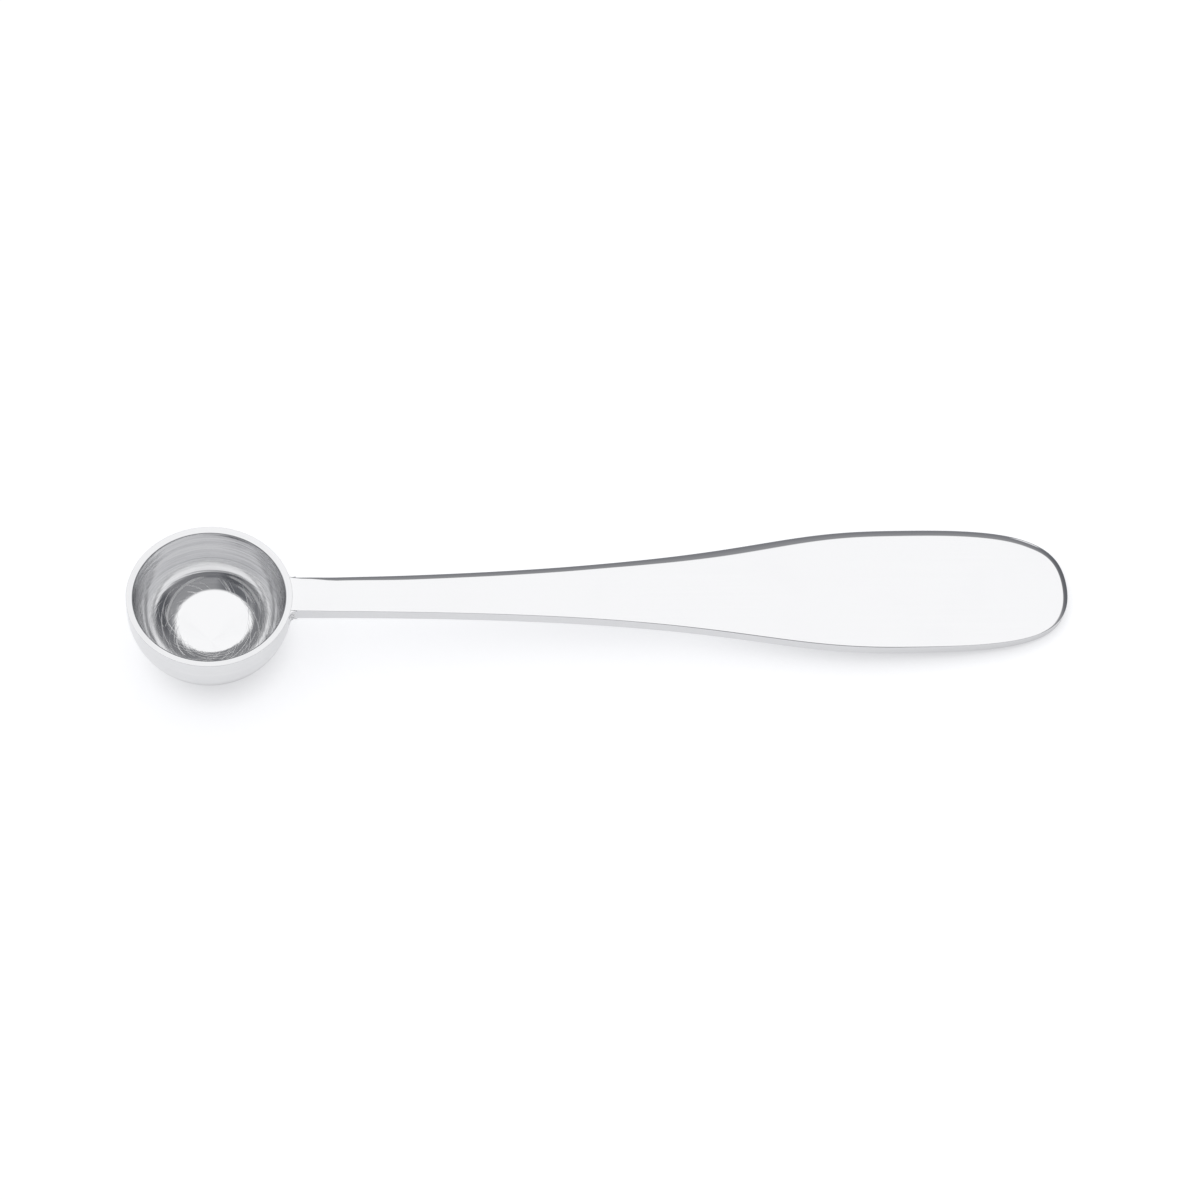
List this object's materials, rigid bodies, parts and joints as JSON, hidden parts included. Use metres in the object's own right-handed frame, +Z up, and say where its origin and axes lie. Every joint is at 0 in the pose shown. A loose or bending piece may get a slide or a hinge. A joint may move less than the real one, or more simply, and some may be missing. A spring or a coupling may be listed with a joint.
{
  "type": "measuring spoon",
  "caption": "Polished steel measuring spoon: a small round deep bowl welded to a flat handle that widens from a slim neck to a rounded paddle end.",
  "frame": {"origin": "on the surface that the spoon lies on, under the middle of its bounding box", "axes": "+X from the bowl towards the handle's tip, +Y across the handle, +Z up from the surface; the spoon lies on its base edge and its tip, so its rim slopes down towards +X"},
  "size_m": [0.1246, 0.0216, 0.0129],
  "materials": {
    "bowl_steel": "polished stainless steel, satin inside with fine circular polishing marks",
    "handle_steel": "bright polished stainless steel",
    "weld_steel": "ground and polished weld, slightly dull"
  },
  "bodies": {
    "root": {"bowl": "bowl_steel", "handle": "handle_steel", "weld_bead": "weld_steel"}
  },
  "joints": []
}
